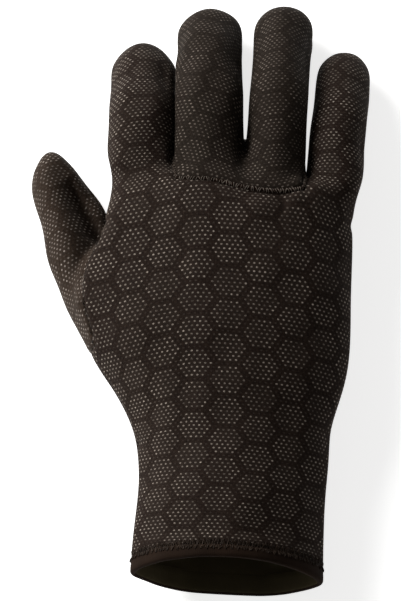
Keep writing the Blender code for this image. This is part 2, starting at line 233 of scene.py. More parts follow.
hand = hand_grid().reshape(-1, 3)
hand[list(THUMB_ROOT)] = list(THUMB_ROOT.values())
ring, web_seams = knuckle_ring()
stalls = [finger_points(f, (b + p) / 2) for f, b, p in zip(FINGERS, ROOT_BACK_Y, ROOT_PALM_Y)]
stalls.append(thumb_points())
cage = np.vstack([hand, ring, web_seams] + [np.vstack(stall) for stall in stalls])
cage[:, 1] -= HEEL_FROM_CUFF
print(len(cage), "points in the cage")

# %% [markdown]
# ## The faces of the cage, and the panels
# The real glove is sewn from five flat pieces: the back of the hand with the index and little
# finger, the backs of the two middle fingers, the palm side, the thumb, and a plain hem. Every
# face of the cage belongs to one of them, and the seams run where two panels meet.

# %% Faces by index arithmetic
# Point AROUND * row + k is in column k of the hand's row. Then come the ring where the fingers
# part, 220 to 239, the middles of the webs, 240 to 242, and the points of each stall.
BACK, MIDDLE_RING, PALM, THUMB_PANEL, HEM = range(5)
row, k = np.divmod(np.arange(len(hand)), AROUND)
after = (k + 1) % AROUND
low, high = row * AROUND, (row + 1) * AROUND
faces = np.stack([low + k, low + after, high + after, high + k], 1)
panels = np.where(k >= AROUND // 2, PALM, BACK)
panels[(row == len(SECTIONS) - 1) & (k >= 3) & (k <= 6)] = MIDDLE_RING
panels[row == 0] = HEM
thumb_hole = np.isin(row, (7, 8)) & np.isin(k, (0, 19))
faces, panels = faces[~thumb_hole], panels[~thumb_hole]
# The first point of each stall's root is on its outer seam, and the rest go over the back.
ROOTS = [
    [220, 221, 222, 223, 240, 237, 238, 239], [240, 223, 224, 225, 241, 235, 236, 237],
    [241, 225, 226, 227, 242, 233, 234, 235], [242, 227, 228, 229, 230, 231, 232, 233],
    [140, 141, 161, 181, 180, 199, 179, 159],
]
FIRST = len(hand) + len(ring) + len(web_seams) + STALL_POINTS * np.arange(5)
SIDES = [
    (BACK, PALM), (MIDDLE_RING, PALM), (MIDDLE_RING, PALM), (BACK, PALM), (THUMB_PANEL, THUMB_PANEL),
]
for root, first, (over, under) in zip(ROOTS, FIRST, SIDES):
    rings = np.vstack([root, first + np.arange(STALL_POINTS - 1).reshape(STALL_RINGS, STALL_AROUND)])
    low, high, last = rings[:-1], rings[1:], rings[-1]
    tube = np.stack([low, np.roll(low, -1, 1), np.roll(high, -1, 1), high], 2).reshape(-1, 4)
    tip = first + STALL_POINTS - 1
    cap = np.stack([np.full(4, tip), last[::2], last[1::2], np.roll(last, -2)[::2]], 1)
    faces = np.vstack([faces, tube, cap])
    sides = np.concatenate([np.tile(np.repeat([over, under], 4), STALL_RINGS), [over, over, under, under]])
    panels = np.concatenate([panels, sides])
used, flat = np.unique(faces, return_inverse=True)
renumber = np.full(len(cage), -1)
renumber[used] = np.arange(len(used))
cage, faces = cage[used], flat.reshape(-1, 4)
print(len(faces), "faces; in each panel", np.bincount(panels))

# %% [markdown]
# ## From the cage to a smooth skin
# Catmull-Clark subdivision cuts every face into four and moves the points so that the surface
# gets rounder. Blender's Subdivision Surface modifier does the same, but here each level is kept
# as arrays, because the print, the seams and the lining all need to know which fine point came
# from which coarse one. Old points keep their numbers, then come the edges' points and then the
# faces', so a coarse level is always the start of the finer one.


# %% Subdivision as whole arrays
def total(index, values, size):
    """Sums the rows of values that share an index."""
    return np.stack([np.bincount(index, column, size) for column in values.T], 1)


def edges_of(quads, size):
    """A sorted key for each edge (low end times size plus high end), and each quad's four edges."""
    ends = np.sort(np.stack([quads, np.roll(quads, -1, 1)], 2), 2).reshape(-1, 2)
    keys, which, uses = np.unique(ends[:, 0] * size + ends[:, 1], return_inverse=True, return_counts=True)
    return keys, which.reshape(-1, 4), uses


def subdivide(points, quads):
    """One Catmull-Clark level. An edge's point is the mean of its ends and of the middles of the
    two faces beside it. A vertex with n faces goes to (F + 2 E + (n - 3) P) / n, where F and E
    are the means of the faces' and edges' middles round it. On an open edge, the border's own
    middles count alone: P / 2 plus a quarter of the two beside it.
    """
    size = len(points)
    keys, which, uses = edges_of(quads, size)
    ends = np.stack([keys // size, keys % size], 1)
    centres, middles = points[quads].mean(1), points[ends].mean(1)
    spread = np.repeat(centres, 4, 0)
    beside = total(which.ravel(), spread, len(keys))
    shared = (uses == 2)[:, None]
    edge_points = np.where(shared, (2.0 * middles + beside) / 4.0, middles)
    count = np.bincount(quads.ravel(), minlength=size)[:, None]
    degree = np.bincount(ends.ravel(), minlength=size)[:, None]
    around_faces = total(quads.ravel(), spread, size) / count
    around_edges = total(ends.ravel(), np.repeat(middles, 2, 0), size) / degree
    moved = (around_faces + 2.0 * around_edges + (count - 3.0) * points) / count
    rim = np.flatnonzero(uses == 1)
    rim_sum = total(ends[rim].ravel(), np.repeat(middles[rim], 2, 0), size)
    on_rim = np.bincount(ends[rim].ravel(), minlength=size)[:, None] > 0
    moved = np.where(on_rim, points / 2.0 + rim_sum / 4.0, moved)
    face_number = (size + len(keys) + np.arange(len(quads)))[:, None].repeat(4, 1)
    finer = np.stack([quads, size + which, face_number, size + np.roll(which, 1, 1)], 2)
    return np.vstack([moved, edge_points, centres]), finer.reshape(-1, 4)


def at_level(values, level):
    """Values of the cage's faces for the faces of a level: each level cuts a face into four."""
    return np.repeat(values, 4**level)


def fitted(points, quads, rounds=10):
    """Moves the cage out until two levels of subdivision run through its wanted points."""
    control = points.copy()
    for _ in range(rounds):
        once, finer = subdivide(control, quads)
        reached, _ = subdivide(once, finer)
        control += points - reached[: len(points)]
    return control


FLAT, COARSE, FINE = 1, 3, 4  # the levels of the cutting patterns, of the lining and of the print
levels = [(fitted(cage, faces), faces)]
for _ in range(FINE):
    levels.append(subdivide(*levels[-1]))
coarse, fine = levels[COARSE], levels[FINE]
fine_panels = at_level(panels, FINE)
print("points at each level:", [len(points) for points, _ in levels])


# %% [markdown]
# ## The seams as lines on the skin
# Each seam is a list of cage points. At every level a seam's line passes through its old points
# and the points of the edges between them, so the list is followed down to the finest level
# without searching the surface.


# %% Follow the seams
def followed(chain):
    """The seam's points at the finest level: each pair of neighbours gets its edge's point between."""
    chain = renumber[np.array(chain)]
    for points, quads in levels[:FINE]:
        keys, _, _ = edges_of(quads, len(points))
        low, high = np.minimum(chain[:-1], chain[1:]), np.maximum(chain[:-1], chain[1:])
        between = len(points) + np.searchsorted(keys, low * len(points) + high)
        chain = np.append(np.stack([chain[:-1], between], 1).ravel(), chain[-1])
    return chain


def round_stall(number):
    """Up the outer seam of a finger (ring point 0), over the tip and down the inner seam (4)."""
    rings = FIRST[number] + STALL_AROUND * np.arange(STALL_RINGS)
    return [*rings, FIRST[number] + STALL_POINTS - 1, *(rings[::-1] + 4)]


fingers_round = [
    220, *round_stall(0), 240, *round_stall(1), 241, *round_stall(2), 242, *round_stall(3), 230,
]
SEAMS = {
    "thumb_side": followed(range(20, 160, AROUND)),
    "fingers_side": followed([180, 200, *fingers_round, *range(210, 20, -AROUND)]),
    "thumb_root": followed([*ROOTS[4], ROOTS[4][0]]),
    "knuckle": followed([240, 223, 203, 204, 205, 206, 207, 227, 242]),
    "cuff": followed([*range(AROUND, 2 * AROUND), AROUND]),
}
CUFF_EDGE = followed([*range(AROUND), 0])
for name, line in SEAMS.items():
    steps = np.diff(fine[0][line], axis=0)
    print(f"{name}: {len(line)} points, {np.linalg.norm(steps, axis=1).sum():.0f} mm")


# %% [markdown]
# ## Resting, folds and the seams' grooves
# A sheet's own softness shows in three ways. Where it rests it is pressed flat, where it bends it
# folds, and where it is sewn the stitches pull it down into a groove with a soft roll on both
# sides. Each is a height added along the skin's normal, as a function of the distance from a
# line, so the same few numbers can be read off the photograph and tried again.


# %% Shape the skin
def point_normals(points, quads):
    """Unit normals: the cross product of each quad's diagonals, summed at its corners."""
    a, b, c, d = (points[quads[:, corner]] for corner in range(4))
    normal = np.cross(c - a, d - b)
    normal = total(quads.ravel(), np.repeat(normal, 4, 0), len(points))
    return normal / np.linalg.norm(normal, axis=1, keepdims=True)


def distance_to(points, line):
    """Distance from each point to the nearest point of a dense line, and that point's number.

    The square of a distance is p.p + q.q - 2 p.q, which one matrix product gives for a chunk.
    """
    squares, near, which = (line**2).sum(1), [], []
    for chunk in np.array_split(points, max(1, len(points) // 4000)):
        apart = squares - 2.0 * chunk @ line.T
        which.append(apart.argmin(1))
        near.append(apart.min(1) + (chunk**2).sum(1))
    return np.sqrt(np.maximum(np.concatenate(near), 0.0)), np.concatenate(which)


def smooth(low, high, value):
    """0 below low, 1 above high and an even S-curve between."""
    t = np.clip((value - low) / (high - low), 0.0, 1.0)
    return t * t * (3.0 - 2.0 * t)


points, quads = fine
skin = points.copy()
# Each height z becomes (z + sqrt(z^2 + r^2)) / 2: nearly z above the table, and never under it.
REST_ROUND = 0.6
skin[:, 2] = 0.5 * (skin[:, 2] + np.sqrt(skin[:, 2] ** 2 + REST_ROUND**2))
# The seam over the knuckles isn't cut straight: it sags under the ring finger and climbs beside
# it. The cloth of the upper side is moved along the hand with it, less and less away from it.
KNUCKLE_Y, SAG_REACH = 112.0, 8.0
SAG_X = (-25.0, -10.0, -3.0, 8.3, 19.0, 25.8, 31.8, 36.0, 45.0)
SAG_Y = (0.0, 0.3, 0.0, -1.9, -2.3, -0.7, 3.2, 3.0, 0.0)
sag = np.interp(skin[:, 0], SAG_X, SAG_Y) * np.exp(-(((skin[:, 1] - KNUCKLE_Y) / SAG_REACH) ** 2))
skin[:, 1] += sag * smooth(26.0, 34.0, skin[:, 2])
out = point_normals(skin, quads)
all_seams = np.concatenate([points[line] for line in SEAMS.values()])
from_seam, _ = distance_to(points, all_seams)
GROOVE, GROOVE_WIDE = 0.75, 0.8
ROLL, ROLL_AT, ROLL_WIDE = 0.22, 3.2, 1.8
height = ROLL * np.exp(-(((from_seam - ROLL_AT) / ROLL_WIDE) ** 2))
height -= GROOVE * np.exp(-((from_seam / GROOVE_WIDE) ** 2))

# Soft dents and swellings of the foam, as a sum of slow waves in directions drawn once.
rng = np.random.default_rng(7)
for length, tall in ((46.0, 0.22), (31.0, 0.18), (21.0, 0.12), (13.0, 0.06)):
    for _ in range(4):
        way = rng.normal(size=3)
        way *= 2.0 * math.pi / (length * np.linalg.norm(way))
        height += tall * np.sin(points @ way + rng.uniform(0.0, 2.0 * math.pi)) * smooth(0.0, 6.0, from_seam)
print("height over the smooth skin:", round(height.min(), 2), "to", round(height.max(), 2), "mm")

# %% [markdown]
# ## Folds read from the photograph
# A fold is drawn as a short line of picture points with a depth at each. The line is laid on the
# skin by looking through the camera: of the skin's points that show at that place, the nearest
# one to the camera is the one the photograph sees. A fold drawn this way lands where it belongs,
# and still sits on the glove when it is seen from the side.


# %% Folds from picture points
def on_picture(places):
    """Where the camera shows places in mm: picture x and y in points, and the way towards it.

    The shift from the target is split into right, up and towards. The nearer a place is, the
    larger it shows, by distance / (distance - towards).
    """
    shift = places - TARGET / MM
    up = shift[:, 1] * math.sin(ELEVATION) + shift[:, 2] * math.cos(ELEVATION)
    toward = shift[:, 2] * math.sin(ELEVATION) - shift[:, 1] * math.cos(ELEVATION)
    larger = DISTANCE / MM / (DISTANCE / MM - toward) / POINT_MM
    across, down = PICTURE_MIDDLE[0] + shift[:, 0] * larger, PICTURE_MIDDLE[1] - up * larger
    return np.stack([across, down], 1), toward


picture, toward = on_picture(skin)
seen = np.flatnonzero(out @ np.array([0.0, -math.cos(ELEVATION), math.sin(ELEVATION)]) > 0.0)
SAME_PLACE = 1.6  # picture points within which the skin counts as showing at a place


def laid_on_skin(path, values):
    """A dense line of skin points under a picture path, with the values spread along it."""
    path = np.array(path, float)
    length = np.append(0.0, np.cumsum(np.linalg.norm(np.diff(path, axis=0), axis=1)))
    step = np.linspace(0.0, length[-1], int(length[-1]) + 2)
    dense = np.stack([np.interp(step, length, path[:, 0]), np.interp(step, length, path[:, 1])], 1)
    away = np.linalg.norm(picture[seen][None] - dense[:, None], axis=2)
    place = seen[np.argmin(np.where(away < SAME_PLACE, -toward[seen], 1000.0 + away), 1)]
    return points[place], np.interp(step, length, values)


# picture points, depth in mm at each point (a ridge is negative), half width in mm
FOLDS = [
    ([(215, 186), (245, 193), (285, 198)], [0.4, 1.2, 0.7], 3.2),
    ([(181, 180), (203, 181), (225, 183), (249, 189), (274, 192.5), (290, 192), (303, 186)],
     [0.3, 0.8, 0.9, 1.0, 1.0, 0.9, 0.3], 0.9),
    ([(281, 194), (285, 203), (280, 217)], [0.8, 0.7, 0.1], 1.6),
    ([(309, 160), (309, 178), (307, 196)], [1.4, 1.6, 0.3], 2.8),
    ([(172, 150), (172, 162), (177, 176)], [2.0, 1.6, 0.3], 2.2),
    ([(243, 134), (243, 150), (243, 172)], [2.6, 2.4, 0.2], 3.0),
    ([(136, 443), (150, 446), (165, 449)], [1.5, 0.8, 0.1], 2.6),
    ([(356, 225), (345, 228), (330, 229)], [1.2, 0.6, 0.1], 2.6),
]
for path, depths, wide in FOLDS:
    line, depth = laid_on_skin(path, depths)
    box = np.all((points > line.min(0) - 3 * wide) & (points < line.max(0) + 3 * wide), 1)
    apart, which = distance_to(points[box], line)
    height[box] -= depth[which] * np.exp(-((apart / wide) ** 2))
# The underside is pressed flat where it rests, so its folds fade out in the lowest 3 mm.
height *= np.where(out[:, 2] < -0.6, smooth(0.0, 3.0, points[:, 2]), 1.0)

# %% [markdown]
# ## The thumb's hollow, and fingers that touch
# The thumb is empty, so its upper side has sunk in: from a ridge along its middle the cloth falls
# steeply to the right, into a hollow under the hand's soft edge. Only points of the thumb's own
# panel are lowered, by how far the photograph shows them from the hollow's deepest line, and
# straight down, because a drop along the normals would lean into the hand.
# The index and middle finger lie against each other. Both are swollen a little towards the
# other, and stopped at a plane between them, as soft things are when they are pressed together.

# %% Sink the thumb and press the fingers together
# picture x and y of the deepest line, from the tip to the root, and how deep it is in mm
DEEPEST = np.array([
    (70, 176, 0.3), (80, 196, 5.8), (92, 216, 8.5), (103, 238, 10.5), (96, 256, 10.5), (86, 271, 7.0),
    (80, 285, 2.6), (80, 300, 0.0),
])
HOLLOW_WIDE, HOLLOW_LEAVES = 4.9, 5.0
WALL_ENDS = 245.0  # from this row of the picture down, the hollow has no steep side
step = np.linspace(0.0, len(DEEPEST) - 1.0, 300)
line = np.stack([np.interp(step, range(len(DEEPEST)), column) for column in DEEPEST.T], 1)
line, drop = line[:, :2], line[:, 2]
on_stall = np.zeros(len(points), bool)
on_stall[quads[fine_panels == THUMB_PANEL]] = True
box = np.flatnonzero(on_stall & (out[:, 2] > -0.1))
apart, which = distance_to(picture[box], line)
apart = apart * POINT_MM
way, off = np.gradient(line, axis=0)[which], picture[box] - line[which]
right_of_it = (way[:, 1] * off[:, 0] - way[:, 0] * off[:, 1] > 0.0) & (line[which, 1] < WALL_ENDS)
steep, gentle = 0.55 + 0.45 * np.exp(-(apart**2)), np.exp(-((apart / HOLLOW_WIDE) ** 2))
deep = drop[which] * np.where(right_of_it, steep, gentle) * smooth(-0.1, 0.3, out[box, 2])
deep = np.minimum(deep, np.maximum(skin[box, 2] - HOLLOW_LEAVES, 0.0))
# At the root seam the thumb is held by the hand. The drop that is missing there makes a wall.
from_root, _ = distance_to(points[box], points[SEAMS["thumb_root"]])
hollow, wall = np.zeros(len(points)), np.zeros(len(points))
hollow[box] = deep * smooth(0.0, 1.5, from_root)
wall[box] = deep - hollow[box]

skin = skin + out * height[:, None] - np.array([0.0, 0.0, 1.0]) * hollow[:, None]
# Swellings as bells round the plane: all of it on the middle finger, and 0.6 of it on the index.
SWELL, SWELL_REACH, HALF_GAP, SIDE_REACH = 1.5, 5.0, 0.04, 9.0
between = np.interp(skin[:, 1], (118.0, 180.0), (-24.0, -23.7))
along_fingers = smooth(112.0, 124.0, skin[:, 1]) * (1.0 - smooth(172.0, 188.0, skin[:, 1]))
beside = (np.abs(skin[:, 0] - between) < SIDE_REACH) & (skin[:, 1] > KNUCKLE_Y)
index_side, middle_side = beside & (skin[:, 0] < between), beside & (skin[:, 0] >= between)
swell = SWELL * along_fingers * np.exp(-(((skin[:, 0] - between) / SWELL_REACH) ** 2))
index_x = np.minimum(skin[:, 0] + 0.6 * swell, between - HALF_GAP)
middle_x = np.maximum(skin[:, 0] - swell, between + HALF_GAP)
skin[:, 0] = np.select([index_side, middle_side], [index_x, middle_x], skin[:, 0])
TABLE_GAP = 0.02  # nothing lies in the table's own plane
skin[:, 2] = np.maximum(skin[:, 2], TABLE_GAP)
out = point_normals(skin, quads)
print(len(FOLDS) + 1, "folds; deepest", round(max(-height.min(), hollow.max()), 1), "mm")

# %% [markdown]
# ## Cutting patterns
# The print was on the cloth before it was cut, so on the glove it follows the flat shape of each
# panel. Laying a curved panel flat with the least stretch gives that shape back. The method is
# called as-rigid-as-possible: turn every small triangle to fit its place on the table, find the
# flat points whose edges agree best with all of them, and repeat. The result is a UV map in real
# millimetres. An ordinary unwrap would do, but its scale and direction could not be set.


# %% Lay the panels flat
LEAST_WEIGHT = 0.05  # an edge across a blunt corner would otherwise count as less than nothing


def flattened(points, quads, start, rounds=40):
    """Flat places of the points. Each round finds every triangle's turn, the angle of the sum
    of its flat edges against its true ones, and solves the weighted mesh equations for them.
    """
    triangles = np.vstack([quads[:, [0, 1, 2]], quads[:, [0, 2, 3]]])
    a, b, c = (points[triangles[:, corner]] for corner in range(3))
    along = np.linalg.norm(b - a, axis=1)
    x = ((c - a) * (b - a)).sum(1) / along
    y = np.linalg.norm(np.cross(b - a, c - a), axis=1) / along
    zero = np.zeros_like(x)
    true = np.stack([np.stack([zero, zero], 1), np.stack([along, zero], 1), np.stack([x, y], 1)], 1)
    size = len(points)
    matrix, parts = np.zeros((size, size)), []
    for i, j, opposite in ((0, 1, 2), (1, 2, 0), (2, 0, 1)):
        one, two = true[:, i] - true[:, opposite], true[:, j] - true[:, opposite]
        cross = one[:, 0] * two[:, 1] - one[:, 1] * two[:, 0]
        weight = np.maximum((one * two).sum(1) / cross, LEAST_WEIGHT)
        from_, to = triangles[:, i], triangles[:, j]
        for p, q in ((from_, to), (to, from_)):
            np.add.at(matrix, (p, p), weight)
            np.add.at(matrix, (p, q), -weight)
        parts.append((from_, to, weight[:, None], true[:, i] - true[:, j]))
    matrix[0] = 0.0
    matrix[0, 0] = 1.0
    solve = np.linalg.inv(matrix)
    flat = start.copy()
    for _ in range(rounds):
        cosine, sine = np.zeros(len(triangles)), np.zeros(len(triangles))
        for i, j, weight, edge in parts:
            now = weight * (flat[i] - flat[j])
            cosine += (now * edge).sum(1)
            sine += now[:, 1] * edge[:, 0] - now[:, 0] * edge[:, 1]
        angle = np.arctan2(sine, cosine)
        c, s = np.cos(angle), np.sin(angle)
        wanted = np.zeros((size, 2))
        for i, j, weight, edge in parts:
            x, y = c * edge[:, 0] - s * edge[:, 1], s * edge[:, 0] + c * edge[:, 1]
            turned = weight * np.stack([x, y], 1)
            wanted += total(i, turned, size) - total(j, turned, size)
        wanted[0] = start[0]
        flat = solve @ wanted
    return flat


def cutting_pattern(mask, mirrored, turn):
    """The flat place in mm of every corner of the fine faces in mask (cage faces).

    The flat sheet is laid as the panel is seen from above (or below, mirrored), and then turned
    by turn degrees.
    """
    start_points, start_quads = levels[FLAT]
    used, local = np.unique(start_quads[at_level(mask, FLAT)], return_inverse=True)
    local = local.reshape(-1, 4)
    seen_from = start_points[used][:, :2] * (np.array([-1.0, 1.0]) if mirrored else 1.0)
    flat = flattened(start_points[used], local, seen_from)
    a, b = flat - flat.mean(0), seen_from - seen_from.mean(0)
    angle = math.atan2((a[:, 0] * b[:, 1] - a[:, 1] * b[:, 0]).sum(), (a * b).sum())
    angle += math.radians(turn)
    spin = np.array([[math.cos(angle), math.sin(angle)], [-math.sin(angle), math.cos(angle)]])
    edge = np.linalg.norm(start_points[used][local[:, 0]] - start_points[used][local[:, 1]], axis=1)
    laid = np.linalg.norm(flat[local[:, 0]] - flat[local[:, 1]], axis=1)
    print(f"{mask.sum()} cage faces laid flat, {100 * np.abs(laid / edge - 1).mean():.1f}% off on average")
    flat = a @ spin + seen_from.mean(0)
    for _ in range(FINE - FLAT):
        flat, local = subdivide(flat, local)
    return flat[local]


def turned(flat, degrees):
    """Turns flat places round the origin, so that the print's rows lie along the first axis."""
    c, s = math.cos(math.radians(degrees)), math.sin(math.radians(degrees))
    return flat @ np.array([[c, -s], [s, c]])


PITCH, ROW = 2.385, 1.884  # mm between dots in a row, and between rows on average
# The jersey is pulled wider round the wrist than over the knuckles, so its rows of dots lie
# closer together there. Counted in the photograph: rows passed at places up the hand, in mm.
UP_MM = (-60.0, -49.0, -36.7, -24.1, -10.6, 10.0, 31.0, 60.0, 83.7, 91.9, 112.0, 300.0)
UP_ROWS = (-31.2, -24.0, -16.0, -8.0, 0.0, 12.3, 24.3, 39.9, 52.0, 56.0, 66.0, 189.0)
# The rows also lean: mm that the print is moved across, at heights of the hand.
LEAN_UP, LEAN_BY = (-60.0, -10.6, 100.0), (2.5, 0.0, 3.6)
CLIMB, FALL = 0.16, 0.1
WALL_WAY = np.array([0.93, -0.36])  # the way down the wall at the thumb's root, on the table
corner_uv = np.zeros((len(quads), 4, 2))


def lay_print(mask, mirrored, turn, print_turn, shift):
    """Writes the print's place of the panel's corners: turned, leaned and stretched to the rows."""
    flat = cutting_pattern(mask, mirrored, turn)
    if mask is thumb_upper:
        # The steep wall at the thumb's root is cloth too, so the print goes on by its height.
        flat = flat + wall[quads[at_level(mask, FINE)]][..., None] * WALL_WAY
    flat = turned(flat, print_turn)
    across = flat[..., 0] + np.interp(flat[..., 1], LEAN_UP, LEAN_BY) + shift[0]
    up = flat[..., 1] + shift[1]
    if mask is over_hand:
        # Towards the thumb the rows climb, and on the little finger they drop.
        up = up - CLIMB * np.minimum(flat[..., 0] + 22.0, 0.0) * smooth(-20.0, 10.0, up)
        up = up + FALL * np.maximum(flat[..., 0] - 20.0, 0.0) * smooth(95.0, 125.0, up)
    up = np.interp(up, UP_MM, UP_ROWS) * ROW
    corner_uv[at_level(mask, FINE)] = np.stack([across, up], 2)


# The thumb's stall was the last to be made, and its upper half is the first half of each ring.
over_hand, on_thumb = panels == BACK, panels == THUMB_PANEL
upper_half = np.concatenate([np.tile(np.repeat([True, False], 4), STALL_RINGS), [True, True, False, False]])
thumb_upper = on_thumb.copy()
thumb_upper[on_thumb] = upper_half
thumb_under = on_thumb & ~thumb_upper
# the panel's faces, if it is seen from below, turns of the cloth and the print, shift across and up
PRINTS = [
    (over_hand, False, -3.0, -6.0, (5.2, 0.0)),
    (panels == MIDDLE_RING, False, 0.0, -8.0, (3.0, 2.0)),
    (panels == PALM, True, 0.0, 0.0, (0.0, 0.0)),
    (thumb_upper, False, 0.0, 30.0, (0.0, 0.0)),
    (thumb_under, True, 0.0, -30.0, (0.0, 0.0)),
]
for laid in PRINTS:
    lay_print(*laid)


# %% [markdown]
# ## Colours and nodes
# Every material here is a Principled shader with a few nodes before it. They could be wired by
# hand in the editor, but a script that adds each node in one line can be read from top to bottom.
# Colours are written as on a web page, and one function turns them into the light's own scale.


# %% Helpers for materials
WAVE = 0.314  # a Wave Texture of scale 1 repeats after 2 pi / 20 of its unit


def linear(code):
    """A Blender colour from an sRGB hex code."""
    channels = [int(code[k : k + 2], 16) / 255.0 for k in (0, 2, 4)]
    return (*[c / 12.92 if c <= 0.04045 else ((c + 0.055) / 1.055) ** 2.4 for c in channels], 1.0)


def add(material, kind, inputs=None, **settings):
    """Adds a node with its settings, and fills its inputs with values or with links."""
    node = material.node_tree.nodes.new(kind)
    for name, value in settings.items():
        setattr(node, name, value)
    for socket, value in (inputs or {}).items():
        if isinstance(value, bpy.types.NodeSocket):
            material.node_tree.links.new(value, node.inputs[socket])
        else:
            node.inputs[socket].default_value = value
    return node


def new_material(name):
    """A new node material, and its Principled shader."""
    material = bpy.data.materials.new(name)
    material.use_nodes = True
    return material, material.node_tree.nodes["Principled BSDF"]


# %% [markdown]
# ## Nylon jersey with a printed pattern
# Nylon jersey is a fine knit: it has almost no gloss, a brown-black dye that is worn off the tops
# of its yarns, and relief from its ribs. The dots are printed on it in a grey rubbery ink, so
# they are paler, a little smoother, and stand up by a tenth or two of a millimetre. An image could
# carry the print, but it is drawn by arithmetic in the nodes, so it is sharp at any size and its
# spacing is a plain number of millimetres on the cutting pattern.


# %% Nylon jersey, knitted, dyed brown-black and printed with dots
DOT, DOT_EDGE = 0.4, 0.14  # radius of a dot in mm, and how far its soft edge goes to each side
DOT_SHAPE = (0.82, 1.0, 0.0)  # a dot is a little wider than it is tall
CELL_HALF = (PITCH * 6, ROW * 4, 1.0)  # half the way between two hexagons on the same row
CELL_SLANT, CELL_FLAT = 3.25, 3.5 * ROW  # where the slanting sides and the flat sides lie
IN_LINES, HAZE = 0.11, 0.014  # shares of the full ink, in the lines between cells and between dots
PRINTED_RIB = 0.9  # mm; the knit's own ribs, 0.7 mm wide, would not show


def wrapped(material, place, half, shift):
    """The way from the nearest centre of a grid whose cells are 2 half wide, moved by shift halves."""
    moved = add(material, "ShaderNodeVectorMath", {0: place, 1: (half[0] * shift, half[1] * shift, 0.0)},
                operation="ADD").outputs[0]
    return add(material, "ShaderNodeVectorMath", {0: moved, 1: half, 2: [-h for h in half]},
               operation="WRAP").outputs[0]


